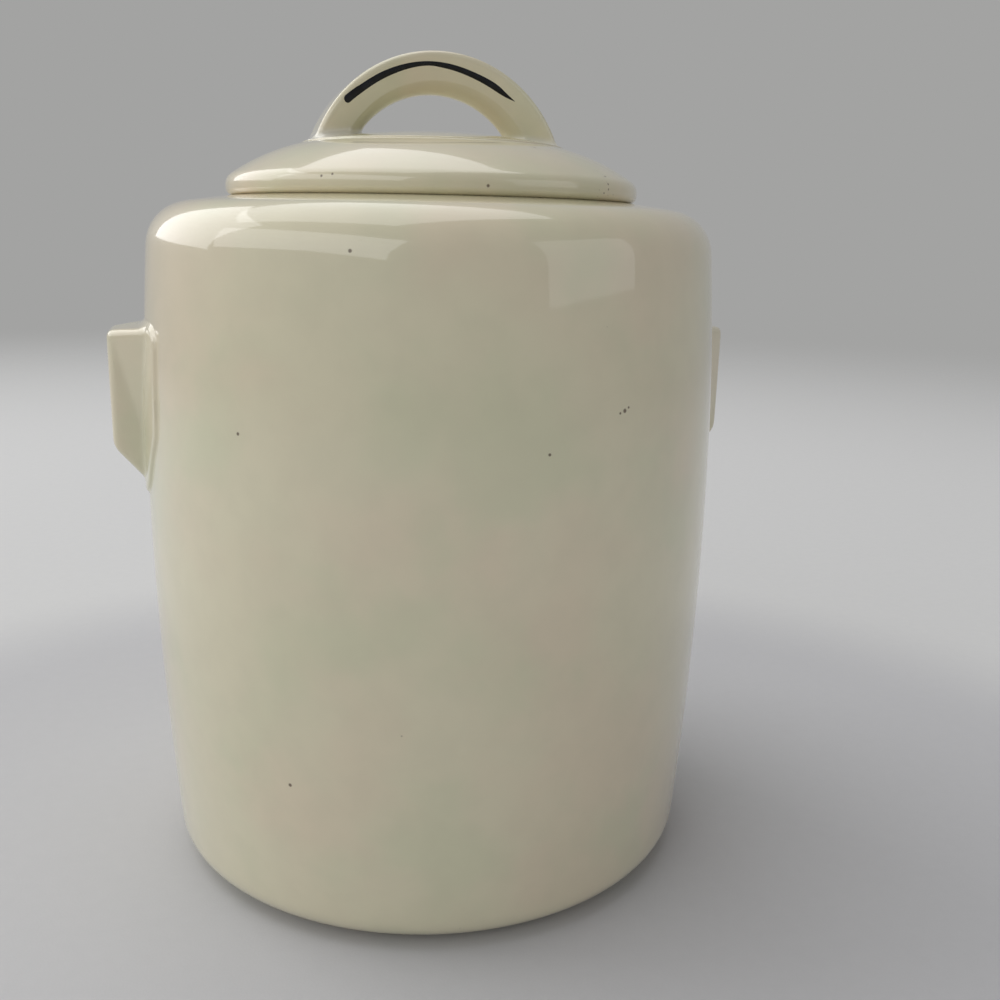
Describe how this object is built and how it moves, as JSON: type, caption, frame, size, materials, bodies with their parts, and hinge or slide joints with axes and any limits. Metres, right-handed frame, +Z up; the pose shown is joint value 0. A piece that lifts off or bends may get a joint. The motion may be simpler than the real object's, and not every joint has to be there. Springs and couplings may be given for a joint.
{
  "type": "biscuit jar",
  "caption": "Barrelled glazed jar on a foot ring with a lug on each side and a loose domed lid with an arched handle.",
  "frame": {"origin": "on the table under the middle of the foot ring", "axes": "+Z up along the jar's axis; the lugs and the lid's handle lie along X"},
  "size_m": [0.1486, 0.1348, 0.1886],
  "materials": {
    "cream_glaze": "glossy cream glaze over fired earthenware"
  },
  "bodies": {
    "jar": {"jar_body": "cream_glaze", "left_lug": "cream_glaze", "right_lug": "cream_glaze"},
    "lid": {"lid": "cream_glaze", "lid_handle": "cream_glaze"}
  },
  "joints": [
    {"name": "lid_lift", "type": "slide", "parent": "jar", "child": "lid", "axis": [0, 0, 1], "range_m": [0, 0.09]}
  ]
}
